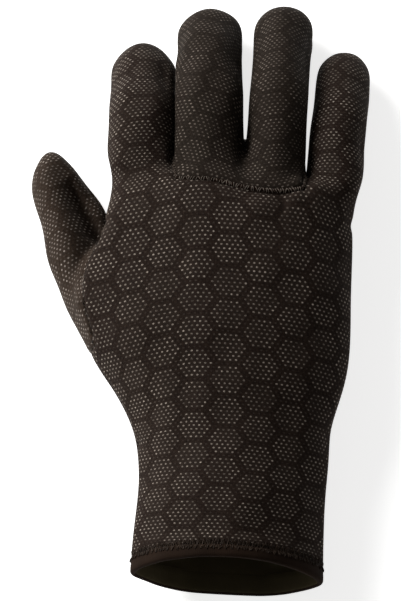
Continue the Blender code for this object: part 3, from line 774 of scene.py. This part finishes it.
def printed_jersey(name, ground, ink):
    """Dots in a staggered grid, pale inside hexagons of 37 dots and faint in the lines between.

    Wrapping the place into one cell of a grid gives the way to the nearest centre. Two such
    grids, half a cell apart, make the staggered pattern, for the dots and for the hexagons.
    """
    material, shader = new_material(name)
    place = add(material, "ShaderNodeUVMap", uv_map="print").outputs["UV"]
    dots, cells = [], []
    for shift in (0.0, 1.0):
        way = wrapped(material, place, (PITCH / 2, ROW, 1.0), shift)
        way = add(material, "ShaderNodeVectorMath", {0: way, 1: DOT_SHAPE}, operation="MULTIPLY").outputs[0]
        dots.append(add(material, "ShaderNodeVectorMath", {0: way}, operation="LENGTH").outputs["Value"])
        size = add(material, "ShaderNodeVectorMath", {0: wrapped(material, place, CELL_HALF, shift)},
                   operation="ABSOLUTE").outputs[0]
        slant = add(material, "ShaderNodeVectorMath", {0: size, 1: (1 / PITCH, 0.5 / ROW, 0.0)},
                    operation="DOT_PRODUCT").outputs["Value"]
        flat_side = add(material, "ShaderNodeSeparateXYZ", {0: size}).outputs["Y"]
        inside = add(material, "ShaderNodeMath", {0: slant, 1: CELL_SLANT}, operation="LESS_THAN").outputs[0]
        between = add(material, "ShaderNodeMath", {0: flat_side, 1: CELL_FLAT},
                      operation="LESS_THAN").outputs[0]
        cells.append(add(material, "ShaderNodeMath", {0: inside, 1: between},
                         operation="MULTIPLY").outputs[0])
    nearest = add(material, "ShaderNodeMath", {0: dots[0], 1: dots[1]}, operation="MINIMUM").outputs[0]
    in_cell = add(material, "ShaderNodeMath", {0: cells[0], 1: cells[1]}, operation="MAXIMUM").outputs[0]
    # The lines between the cells aren't quite bare: a little of the ink got through there.
    in_cell = add(material, "ShaderNodeMath", {0: in_cell, 1: IN_LINES}, operation="MAXIMUM").outputs[0]
    round_dot = add(material, "ShaderNodeMapRange", {0: nearest, 1: DOT + DOT_EDGE, 2: DOT - DOT_EDGE},
                    interpolation_type="SMOOTHSTEP").outputs[0]
    # Ink that took unevenly: hardly two dots are equally pale, and a haze of ink lies between them.
    uneven = add(material, "ShaderNodeTexNoise", {"Vector": place, "Scale": 0.55, "Detail": 3.0,
                 "Roughness": 0.75}).outputs[0]
    strength = add(material, "ShaderNodeMapRange", {0: uneven, 1: 0.38, 2: 0.66, 3: 0.12, 4: 1.0}).outputs[0]
    # Some places took less ink than others, over two or three cells.
    patch = add(material, "ShaderNodeTexNoise", {"Vector": place, "Scale": 0.07, "Detail": 1.0}).outputs[0]
    patch = add(material, "ShaderNodeMapRange", {0: patch, 1: 0.36, 2: 0.62, 3: 0.5, 4: 1.15}).outputs[0]
    strength = add(material, "ShaderNodeMath", {0: strength, 1: patch}, operation="MULTIPLY").outputs[0]
    dot = add(material, "ShaderNodeMath", {0: round_dot, 1: strength}, operation="MULTIPLY").outputs[0]
    dot = add(material, "ShaderNodeMath", {0: dot, 1: HAZE}, operation="MAXIMUM").outputs[0]
    dot = add(material, "ShaderNodeMath", {0: dot, 1: in_cell}, operation="MULTIPLY").outputs[0]
    # The dye is worn off the tops of the yarns, in slow patches and from one yarn to the next.
    fade = add(material, "ShaderNodeTexNoise", {"Vector": place, "Scale": 0.9, "Detail": 4.0,
               "Roughness": 0.8}).outputs[0]
    fade = add(material, "ShaderNodeMapRange", {0: fade, 1: 0.35, 2: 0.65}).outputs[0]
    dye = add(material, "ShaderNodeMix", {0: fade, 6: linear(ground[0]), 7: linear(ground[1])},
              data_type="RGBA")
    colour = add(material, "ShaderNodeMix", {0: dot, 6: dye.outputs[2], 7: linear(ink)}, data_type="RGBA")
    rib = add(material, "ShaderNodeTexWave", {"Vector": place, "Scale": WAVE / PRINTED_RIB,
              "Distortion": 1.5, "Detail Scale": 1.0}).outputs["Fac"]
    fuzz = add(material, "ShaderNodeTexNoise", {"Vector": place, "Scale": 2.2, "Detail": 3.0}).outputs[0]
    relief = add(material, "ShaderNodeMath", {0: rib, 1: 0.25, 2: fuzz}, operation="MULTIPLY_ADD").outputs[0]
    cloth = add(material, "ShaderNodeBump", {"Height": relief, "Strength": 0.25,
                "Distance": 0.0002}).outputs[0]
    raised = add(material, "ShaderNodeBump", {"Height": dot, "Normal": cloth, "Strength": 0.8,
                 "Distance": 0.00025}).outputs[0]
    roughness = add(material, "ShaderNodeMapRange", {0: dot, 3: 0.82, 4: 0.5}).outputs[0]
    for socket, value in (("Base Color", colour.outputs[2]), ("Normal", raised), ("Roughness", roughness)):
        material.node_tree.links.new(value, shader.inputs[socket])
    shader.inputs["Sheen Weight"].default_value = 0.05
    shader.inputs["Sheen Roughness"].default_value = 0.45
    shader.inputs["Sheen Tint"].default_value = linear("cbbfb4")
    shader.inputs["Specular IOR Level"].default_value = 0.05
    return material


back_cloth = printed_jersey("nylon_jersey_printed_back", ("110a07", "281e18"), "9e9286")
finger_cloth = printed_jersey("nylon_jersey_printed_fingers", ("110c08", "251e18"), "7b7066")
palm_cloth = printed_jersey("nylon_jersey_printed_palm", ("110a07", "281e18"), "9e9286")
# The thumb's ground is paler than the other panels', though it is the same jersey: painted light, for the
# lamp at the upper left falling most on the thumb.
thumb_cloth_painted_light = printed_jersey("nylon_jersey_printed_thumb_painted_light", ("1c150f", "352a22"), "a0958b")


# %% [markdown]
# ## Plain jersey
# The lining, the hem and the ridge over the knuckles are the same nylon knit without the print:
# dull, with fine ribs, the lining in an undyed olive brown and the rest in brown-black. The hem
# has no cutting pattern, and the knit looks alike in every direction, so these patterns are read
# off the object's own places, in metres.


# %% Plain jersey for the hem, the lining and the knuckle seam
def plain_jersey(name, tones, rib_mm):
    """The same knit without print: ribs and fuzz as relief, and two close tones in slow patches."""
    material, shader = new_material(name)
    place = add(material, "ShaderNodeTexCoord").outputs["Object"]
    patches = add(material, "ShaderNodeTexNoise", {"Vector": place, "Scale": 60.0, "Detail": 4.0}).outputs[0]
    colour = add(material, "ShaderNodeMix", {0: patches, 6: linear(tones[0]), 7: linear(tones[1])},
                 data_type="RGBA")
    rib = add(material, "ShaderNodeTexWave", {"Vector": place, "Scale": WAVE / (rib_mm * MM),
              "Distortion": 1.0}).outputs["Fac"]
    fuzz = add(material, "ShaderNodeTexNoise", {"Vector": place, "Scale": 2200.0, "Detail": 2.0}).outputs[0]
    relief = add(material, "ShaderNodeMath", {0: rib, 1: 0.4, 2: fuzz}, operation="MULTIPLY_ADD").outputs[0]
    bump = add(material, "ShaderNodeBump", {"Height": relief, "Strength": 0.3, "Distance": 0.0002}).outputs[0]
    material.node_tree.links.new(colour.outputs[2], shader.inputs["Base Color"])
    material.node_tree.links.new(bump, shader.inputs["Normal"])
    shader.inputs["Roughness"].default_value = 0.85
    shader.inputs["Specular IOR Level"].default_value = 0.05
    return material


lining_cloth = plain_jersey("nylon_jersey_lining", ("3c3526", "4b4331"), 1.0)
hem_cloth = plain_jersey("nylon_jersey_hem", ("110b07", "281c14"), 0.9)


# %% [markdown]
# ## The panels
# Each panel is a closed shell: the printed outer face at the finest level, the lining face 2.5 mm
# further in at the level below, and a strip of foam between their edges. Solidify could make the
# inner face, but it would be as fine as the outer one, and would not keep the level below.


# %% Shells from the skin
SHARP = math.radians(60.0)  # edges that turn by more are drawn sharp
BORDER_IN = 0.1


def make_piece(name, points, faces, materials, material_of=None, uv=None):
    """A mesh object in metres from arrays, with smooth faces and an optional UV map in mm."""
    mesh = bpy.data.meshes.new(name)
    mesh.from_pydata((points * MM).tolist(), [], [face for group in faces for face in group.tolist()])
    for material in materials:
        mesh.materials.append(material)
    if material_of is not None:
        mesh.polygons.foreach_set("material_index", material_of)
    mesh.polygons.foreach_set("use_smooth", np.ones(len(mesh.polygons), bool))
    if uv is not None:
        layer = mesh.uv_layers.new(name="print")
        layer.data.foreach_set("uv", uv.ravel())
    mesh.set_sharp_from_angle(angle=SHARP)
    piece = bpy.data.objects.new(name, mesh)
    bpy.context.scene.collection.objects.link(piece)
    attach(piece, "root")
    triangles = sum(len(group) * (group.shape[1] - 2) for group in faces)
    print(name, len(mesh.vertices), "points", triangles, "triangles")
    return piece


inner_out = point_normals(coarse[0], coarse[1])
coarse_keys, _, _ = edges_of(coarse[1], len(coarse[0]))


def panel_shell(name, number, cloth, node):
    """Outer face, inner face and the foam's edge of one panel."""
    outer, inner = quads[fine_panels == number], coarse[1][at_level(panels, COARSE) == number]
    used = np.unique(outer)
    used_inner = np.unique(inner)
    place = np.full(len(skin), -1)
    place[used] = np.arange(len(used))
    place_inner = np.full(len(coarse[0]), -1)
    place_inner[used_inner] = np.arange(len(used_inner)) + len(used)
    # The borders go into the panel by a tenth of a millimetre, so that panels never touch.
    keys, which, uses = edges_of(inner, len(coarse[0]))
    loop = np.stack([inner, np.roll(inner, -1, 1)], 2).reshape(-1, 2)[uses[which.ravel()] == 1]
    low, high = loop.min(1), loop.max(1)
    middle = len(coarse[0]) + np.searchsorted(coarse_keys, low * len(coarse[0]) + high)
    rim_points = np.unique(np.concatenate([loop.ravel(), middle]))
    centres = skin[outer].mean(1)
    toward = total(outer.ravel(), np.repeat(centres, 4, 0), len(skin))[rim_points]
    toward /= np.bincount(outer.ravel(), minlength=len(skin))[rim_points][:, None]
    toward -= skin[rim_points]
    toward -= out[rim_points] * (toward * out[rim_points]).sum(1, keepdims=True)
    shell = skin.copy()
    shell[rim_points] += BORDER_IN * toward / np.linalg.norm(toward, axis=1, keepdims=True)
    lined = shell[used_inner] - inner_out[used_inner] * WALL
    points = np.vstack([shell[used], lined])
    a, b, m = place[loop[:, 0]], place[loop[:, 1]], place[middle]
    a_in, b_in = place_inner[loop[:, 0]], place_inner[loop[:, 1]]
    # One inner edge faces two outer ones, so three triangles make the foam's strip between them.
    edge = np.vstack([np.stack([m, a, a_in], 1), np.stack([b, m, b_in], 1), np.stack([m, a_in, b_in], 1)])
    groups = [place[outer], place_inner[inner][:, ::-1], edge]
    uv = np.concatenate([corner_uv[fine_panels == number].reshape(-1, 2),
                         np.zeros((len(inner) * 4 + len(edge) * 3, 2))])
    kinds = np.repeat([0, 1, 1], [len(outer), len(inner), len(edge)])
    piece = make_piece(name, points, groups, [cloth, lining_cloth], kinds, uv)
    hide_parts(node)
    return piece


panel_shell("back_of_hand", BACK, back_cloth, "back_panel")
panel_shell("middle_and_ring_backs", MIDDLE_RING, finger_cloth, "middle_ring_back")
panel_shell("palm_side", PALM, palm_cloth, "palm_panel")
panel_shell("thumb_stall", THUMB_PANEL, thumb_cloth_painted_light, "thumb_panel")


# %% [markdown]
# ## The hem
# At the cuff a strip of plain jersey is turned over the raw edge and stitched down. It is one
# profile carried round the cuff: flat on the outside, rolled over the edge, flat inside.
# Solidify could thicken a flat strip, but a drawn profile also gives the roll over the edge.


# %% Carry the hem's profile round the cuff
def carried(profile, low, high, normal):
    """A closed tube. Each profile point (a, h) lies at the share a of the way from the cuff's
    edge to the seam, and h millimetres out of the skin.
    """
    share, lift = profile[:, 0, None, None], profile[:, 1, None, None]
    points = low * (1.0 - share) + high * share + normal * lift
    rows, ring = points.shape[:2]
    number = np.arange(rows * ring).reshape(rows, ring)
    up, on = np.roll(number, -1, 0), np.roll(number, -1, 1)
    tube = np.stack([number, on, np.roll(up, -1, 1), up], 2).reshape(-1, 4)
    return points.reshape(-1, 3), tube


HEM_ROLLED = 12  # from this point on the profile shows the lining's side
HEM_PROFILE = np.array([
    (1.02, -0.3), (1.0, 0.15), (0.95, 0.42), (0.85, 0.5), (0.7, 0.5), (0.5, 0.52), (0.3, 0.5), (0.12, 0.4),
    (0.02, 0.1), (-0.05, -0.4), (-0.08, -1.0), (-0.05, -1.6), (0.02, -2.1), (0.15, -2.35), (0.4, -2.4),
    (0.7, -2.4), (0.95, -2.4), (1.02, -2.2),
])
low, high = skin[CUFF_EDGE[:-1]], skin[SEAMS["cuff"][:-1]]
hem_points, hem_faces = carried(HEM_PROFILE, low, high, out[CUFF_EDGE[:-1]])
hem_points[:, 2] = np.maximum(hem_points[:, 2], TABLE_GAP)
inside = np.repeat(np.arange(len(HEM_PROFILE)) >= HEM_ROLLED, len(low)).astype(int)
hem = make_piece("turned_hem", hem_points, [hem_faces], [hem_cloth, lining_cloth], inside)
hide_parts("cuff_hem")

# %% [markdown]
# ## Thread and seams
# The panels are joined edge to edge, and a zigzag of nylon thread holds them. Thread is a tube
# carried along a path. A curve with a round bevel would give one too, but it twists at sharp
# turns, while here each ring of the tube stands on the skin's own normal.
# A zigzag starts as a wave beside the seam's line. Every point of it is then dropped onto the
# nearest piece of skin, so that the thread follows the groove and the swellings beside it.


# %% Lay a thread on the skin
def spread_along(line, step, loop=False):
    """Even points along a line, step mm apart: each coordinate read off at its length."""
    line = np.vstack([line, line[:1]]) if loop and np.any(line[0] != line[-1]) else line
    length = np.append(0.0, np.cumsum(np.linalg.norm(np.diff(line, axis=0), axis=1)))
    even = np.linspace(0.0, length[-1], int(length[-1] / step) + 1)[: -1 if loop else None]
    return np.stack([np.interp(even, length, line[:, axis]) for axis in range(3)], 1), even


def eased(line, reach, loop=False):
    """The mean of each point and its neighbours on both sides, to round the corners off."""
    shifts = range(-reach, reach + 1)
    if loop:
        return sum(np.roll(line, k, 0) for k in shifts) / len(shifts)
    ends = np.vstack([np.repeat(line[:1], reach, 0), line, np.repeat(line[-1:], reach, 0)])
    return sum(ends[reach + k : reach + k + len(line)] for k in shifts) / len(shifts)


def slope(line, loop=False):
    """Unit direction along a line, from the point before to the point after."""
    way = np.roll(line, -1, 0) - np.roll(line, 1, 0) if loop else np.gradient(line, axis=0)
    return way / np.maximum(np.linalg.norm(way, axis=1, keepdims=True), 1e-9)


NEAR_SEAM = 7.0  # a thread never strays further from a seam, so only this skin is searched
near_seams = np.flatnonzero(from_seam < NEAR_SEAM)


def dropped(places, lift):
    """Places moved along the nearest skin point's normal onto its plane, plus lift; and normals."""
    _, which = distance_to(places, skin[near_seams])
    foot, normal = skin[near_seams][which], out[near_seams][which]
    off = ((places - foot) * normal).sum(1, keepdims=True)
    return places - normal * off + normal * lift, normal


def swept(path, normal, profile, size, loop=False):
    """A profile carried along a path: path + size (side u + normal v). Open ends close to a point."""
    way = slope(path, loop)
    side = np.cross(way, normal)
    side /= np.linalg.norm(side, axis=1, keepdims=True)
    upright = np.cross(side, way)
    u, v = profile[None, :, 0, None], profile[None, :, 1, None]
    rings = path[:, None] + size[:, None, None] * (side[:, None] * u + upright[:, None] * v)
    count, around = rings.shape[:2]
    number = np.arange(count * around).reshape(count, around)
    ahead = np.roll(number, -1, 0) if loop else number[1:]
    low = number if loop else number[:-1]
    tube = np.stack([low, np.roll(low, -1, 1), np.roll(ahead, -1, 1), ahead], 2).reshape(-1, 4)
    if loop:
        return rings.reshape(-1, 3), [tube]
    tips = count * around + np.arange(2)
    first = np.stack([np.full(around, tips[0]), np.roll(number[0], -1), number[0]], 1)
    last = np.stack([np.full(around, tips[1]), number[-1], np.roll(number[-1], -1)], 1)
    return np.vstack([rings.reshape(-1, 3), path[:1], path[-1:]]), [tube, np.vstack([first, last])]


def circle(sides):
    """A round profile of radius 1."""
    angle = -2.0 * math.pi * np.arange(sides) / sides
    return np.stack([np.cos(angle), np.sin(angle)], 1)


def joined(parts):
    """Several meshes in one: the later ones' face numbers are moved on by the points before."""
    points, faces, base = [], [], 0
    for part_points, groups in parts:
        points.append(part_points)
        faces += [group + base for group in groups]
        base += len(part_points)
    return np.vstack(points), faces


# %% [markdown]
# ## The thread
# Sewing thread for neoprene is bonded nylon: twisted strands, hardly any shine, and uneven
# darkness where it has rubbed. The strands could be modelled, but at a fifth of a millimetre they
# only show as a slanting grain, so they are relief on a plain tube.


# %% The thread's material
def nylon_thread(name, tones):
    """Two tones in small patches, and slanting bands about 0.4 mm wide as relief."""
    material, shader = new_material(name)
    place = add(material, "ShaderNodeTexCoord").outputs["Object"]
    worn = add(material, "ShaderNodeTexNoise", {"Vector": place, "Scale": 350.0, "Detail": 3.0}).outputs[0]
    colour = add(material, "ShaderNodeMix", {0: worn, 6: linear(tones[0]), 7: linear(tones[1])},
                 data_type="RGBA")
    strand = add(material, "ShaderNodeTexWave", {"Vector": place, "Scale": 900.0, "Distortion": 2.0},
                 bands_direction="DIAGONAL").outputs["Fac"]
    bump = add(material, "ShaderNodeBump", {"Height": strand, "Strength": 0.5, "Distance": 0.0001}).outputs[0]
    material.node_tree.links.new(colour.outputs[2], shader.inputs["Base Color"])
    material.node_tree.links.new(bump, shader.inputs["Normal"])
    shader.inputs["Roughness"].default_value = 0.6
    shader.inputs["Specular IOR Level"].default_value = 0.1
    return material


seam_thread = nylon_thread("nylon_thread_black", ("120e0b", "2c2621"))
knuckle_thread = nylon_thread("nylon_thread_grey", ("2c2620", "7d7268"))
hem_thread = nylon_thread("nylon_thread_brown", ("0c0806", "3a2d23"))

# %% [markdown]
# ## Zigzag seams
# The seam round the fingers, the one under the thumb and the one where the thumb is set in are
# sewn with the same zigzag, 1.9 mm wide, with a stitch every 2.2 mm. It is pulled down into the
# groove, so the outline stays smooth.


# %% Sew the zigzag
THREAD_SIDES, THREAD_STEP = 5, 0.3
SIDE_SEAM = {"wide": 0.95, "stitch": 2.2, "radius": 0.2}


def zigzag(line, wide, stitch, radius, loop=False, phase=0.0, lift=0.02):
    """A wave of straight strokes between -wide and wide, laid on the skin as a thread.

    Its turns are cut off a little, and where the skin lies on the table the thread does too.
    """
    even, along = spread_along(eased(line, 3, loop), THREAD_STEP, loop)
    _, normal = dropped(even, 0.0)
    side = np.cross(slope(even, loop), normal)
    rounds = round(along[-1] / (2 * stitch)) / along[-1]
    stroke = 4.0 * np.abs((along * rounds + phase) % 1.0 - 0.5) - 1.0
    path, normal = dropped(even + side * (wide * np.clip(stroke * 1.15, -1.0, 1.0))[:, None], lift)
    path[:, 2] = np.maximum(path[:, 2], radius + 0.005)
    return swept(path, normal, circle(THREAD_SIDES), np.full(len(path), radius), loop)


side_seams = [zigzag(skin[SEAMS[name]], **SIDE_SEAM) for name in ("thumb_side", "fingers_side")]
side_seams.append(zigzag(skin[SEAMS["thumb_root"][:-1]], **SIDE_SEAM, loop=True))
make_piece("zigzag_seams", *joined(side_seams), [seam_thread])

# %% [markdown]
# ## The raised seam over the knuckles
# Where the backs of the two middle fingers meet the back of the hand, both edges are turned
# outwards and sewn over. That leaves a ridge which the thread pulls into small puckers, and pale
# stitches cross it, no two quite alike. The ridge is a half-round profile whose size rises and
# falls with the stitches. Each stitch is a short thread bent over the ridge, with its own place,
# size, lean and thickness. Geometry nodes could scatter them, but arrays keep them on the skin.

# %% The knuckle ridge and its stitches
STITCH_EVERY = 1.1
# mm: the ridge between two puckers, what a pucker adds, and each end without stitches
RIDGE_RADIUS, PUCKER, ENDS = 0.78, 0.24, 2.5
line, along = spread_along(eased(skin[SEAMS["knuckle"]], 3), 0.2)
path, normal = dropped(line, 0.1)
normal = eased(normal, 12)
pucker = np.abs(np.sin(math.pi * along / STITCH_EVERY)) ** 0.7
taper = smooth(0.0, 3.0, along) * smooth(0.0, 3.0, along[-1] - along)
angle = math.pi * np.arange(9) / 8
RIDGE = np.vstack([np.stack([np.cos(angle), 1.05 * np.sin(angle)], 1), [(-0.8, -0.5), (0.8, -0.5)]])
thickness = (RIDGE_RADIUS + PUCKER * pucker) * (0.25 + 0.75 * taper)
make_piece("knuckle_ridge", *swept(path, normal, RIDGE[::-1], thickness), [hem_cloth])

at = np.arange(ENDS, along[-1] - ENDS, STITCH_EVERY)
at += rng.uniform(-0.22, 0.22, len(at))
middle = np.stack([np.interp(at, along, path[:, axis]) for axis in range(3)], 1)
upright = np.stack([np.interp(at, along, normal[:, axis]) for axis in range(3)], 1)
upright /= np.linalg.norm(upright, axis=1, keepdims=True)
way = np.stack([np.interp(at, along, slope(path)[:, axis]) for axis in range(3)], 1)
side = np.cross(way, upright)
side /= np.linalg.norm(side, axis=1, keepdims=True)
ARC_POINTS = 9
bend = np.linspace(-0.12, math.pi + 0.12, ARC_POINTS)[:, None, None]
size, lean = rng.uniform(0.9, 1.12, (len(at), 1)), rng.uniform(-0.75, 0.75, (len(at), 1))
arcs = middle + size * (side * np.cos(bend) + upright * 1.04 * np.sin(bend)) + way * lean * np.cos(bend)
thick = rng.uniform(0.12, 0.2, len(at))
stitches = [
    swept(arcs[:, k], arcs[:, k] - middle[k], circle(THREAD_SIDES), np.full(ARC_POINTS, thick[k]))
    for k in range(len(at))
]
make_piece("knuckle_stitches", *joined(stitches), [knuckle_thread])
print(len(at), "stitches on the ridge")

# %% [markdown]
# ## The stitching of the hem
# Three zigzags with stitches of different lengths cross each other, as in a flat overlock that
# has been stretched. They cover the line where the print ends, and make it rough and dark. One
# row would leave that line showing between its stitches.

# %% Sew the hem
HEM_THREAD = {"radius": 0.24, "lift": 0.12, "loop": True}
# half width and stitch in mm, and the share of a wave that the row starts with
HEM_ROWS = ((2.3, 1.3, 0.0), (1.6, 1.7, 0.3), (2.0, 1.05, 0.6))
cuff_line = skin[SEAMS["cuff"][:-1]]
hem_rows = [zigzag(cuff_line, wide, stitch, phase=turn, **HEM_THREAD) for wide, stitch, turn in HEM_ROWS]
make_piece("hem_stitches", *joined(hem_rows), [hem_thread])

# %% [markdown]
# ## The table and the lights
# The photograph is lit softly from the upper left, so the thumb and the fingertips are palest and
# the right sides of the fingers are dark. One large lamp does the same, low over the upper left,
# with a weak one across from it and a dim room, so that no side is quite black. The glove lies on
# a sheet of matte paper over a light table, so its shadow stays pale. A lamp has no target in
# Blender without a constraint, so its two turns are worked out from the way to the glove.

# %% Floor and lights
FLOOR = 3.0
# name, place in metres, side in metres, power in watts
LAMPS = (("key", (-1.25, 0.85, 0.8), 1.2, 49.0), ("fill", (0.9, -0.8, 1.2), 1.4, 1.0))
corners = [(-FLOOR, -FLOOR, 0.0), (FLOOR, -FLOOR, 0.0), (FLOOR, FLOOR, 0.0), (-FLOOR, FLOOR, 0.0)]
floor_mesh = bpy.data.meshes.new("floor")
floor_mesh.from_pydata(corners, [], [(0, 1, 2, 3)])
floor = bpy.data.objects.new("floor", floor_mesh)
bpy.context.scene.collection.objects.link(floor)
paper, paper_shader = new_material("matte_paper")
grain = add(paper, "ShaderNodeTexNoise", {"Scale": 40.0})
tone = add(paper, "ShaderNodeMix", {0: grain.outputs[0], 6: linear("f2f1ef"), 7: linear("f6f5f3")},
           data_type="RGBA")
paper.node_tree.links.new(tone.outputs[2], paper_shader.inputs["Base Color"])
paper_shader.inputs["Roughness"].default_value = 0.9
paper_shader.inputs["Emission Color"].default_value = linear("ffffff")
paper_shader.inputs["Emission Strength"].default_value = 0.75
floor_mesh.materials.append(paper)

for name, place, size, power in LAMPS:
    lamp = bpy.data.lights.new(name, "AREA")
    lamp.size, lamp.energy = size, power
    holder = bpy.data.objects.new(name, lamp)
    bpy.context.scene.collection.objects.link(holder)
    way = np.array(place) - TARGET
    holder.location = place
    tilt, heading = math.atan2(math.hypot(way[0], way[1]), way[2]), math.atan2(way[0], -way[1])
    holder.rotation_euler = (tilt, 0.0, heading)
room = bpy.data.worlds.new("room")
room.use_nodes = True
room.node_tree.nodes["Background"].inputs["Color"].default_value = linear("fbfaf8")
room.node_tree.nodes["Background"].inputs["Strength"].default_value = 0.12
bpy.context.scene.world = room
